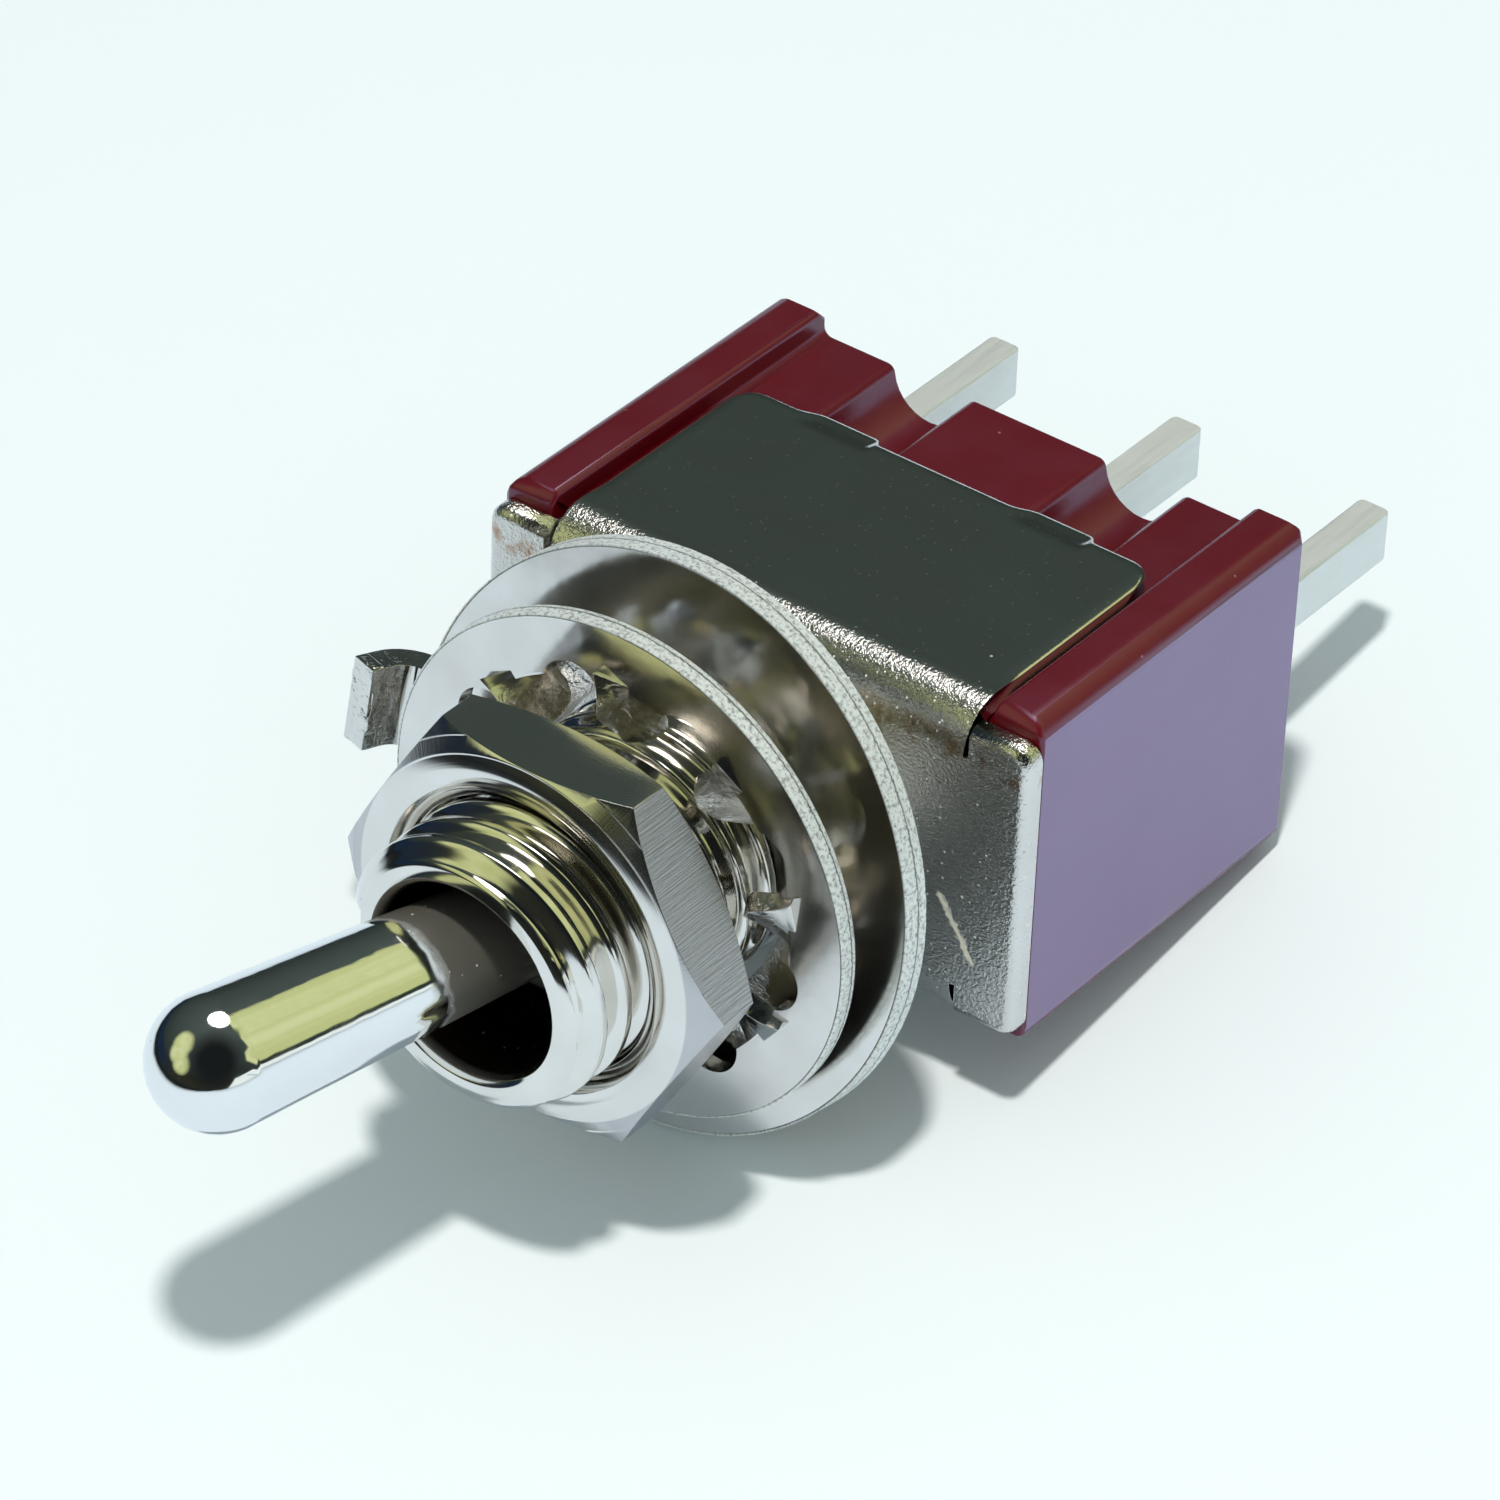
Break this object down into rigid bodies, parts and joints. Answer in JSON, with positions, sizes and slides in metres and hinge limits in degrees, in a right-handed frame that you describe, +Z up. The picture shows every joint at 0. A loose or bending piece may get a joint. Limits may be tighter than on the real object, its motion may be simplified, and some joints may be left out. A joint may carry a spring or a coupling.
{
  "type": "panel toggle switch",
  "caption": "Miniature panel toggle switch with a threaded bushing, leaning bat lever, crimped metal frame round a maroon case, mounting hardware and straight board pins",
  "frame": {"origin": "on the bushing's axis, on the front face of the mounting frame, which seats against the back of the panel", "axes": "-Y points out along the bushing towards the lever, +X runs along the row of pins, +Z is up with the switch on its broad side"},
  "size_m": [0.014, 0.0302, 0.0121],
  "materials": {
    "case": "glossy maroon moulding",
    "mounting_frame": "nickel-plated sheet steel",
    "bushing": "nickel-plated turned brass",
    "lever": "polished nickel-plated brass",
    "plunger": "natural nylon",
    "plunger_spring": "spring steel wire",
    "rocker": "silver-plated brass strip",
    "rocker_contact_left": "silver",
    "rocker_contact_right": "silver",
    "terminal_left": "matt silver-plated brass",
    "terminal_common": "matt silver-plated brass",
    "terminal_right": "matt silver-plated brass",
    "contact_left": "silver",
    "contact_right": "silver",
    "keyed_washer": "nickel-plated steel, sheared edge",
    "lock_washer": "nickel-plated spring steel",
    "nut": "nickel-plated brass, brushed flats"
  },
  "bodies": {
    "housing": {"case": "case", "mounting_frame": "mounting_frame", "bushing": "bushing", "terminal_left": "terminal_left", "terminal_common": "terminal_common", "terminal_right": "terminal_right", "contact_left": "contact_left", "contact_right": "contact_right", "keyed_washer": "keyed_washer", "lock_washer": "lock_washer"},
    "lever": {"lever": "lever", "plunger_spring": "plunger_spring"},
    "plunger": {"plunger": "plunger"},
    "rocker": {"rocker": "rocker", "rocker_contact_left": "rocker_contact_left", "rocker_contact_right": "rocker_contact_right"},
    "nut": {"nut": "nut"}
  },
  "joints": [
    {"name": "lever_throw", "type": "hinge", "parent": "housing", "child": "lever", "pos_m": [0, -0.0052, 0], "axis": [0, 0, 1], "range_deg": [0, 26.6]},
    {"name": "plunger_slide", "type": "slide", "parent": "lever", "child": "plunger", "axis": [-0.23, -0.9732, 0], "range_m": [0, 0.0005], "stiffness_N_per_m": 200, "deforming": ["plunger_spring"]},
    {"name": "rocker_tilt", "type": "hinge", "parent": "housing", "child": "rocker", "pos_m": [0, 0.0056, 0], "axis": [0, 0, 1], "range_deg": [-20, 0]},
    {"name": "nut_turn", "type": "hinge", "parent": "housing", "child": "nut", "pos_m": [0, -0.0063, 0], "axis": [0, -1, 0], "continuous": true}
  ],
  "couplings": [
    {"joint": "rocker_tilt", "follows": "lever_throw", "ratio": -0.75}
  ]
}
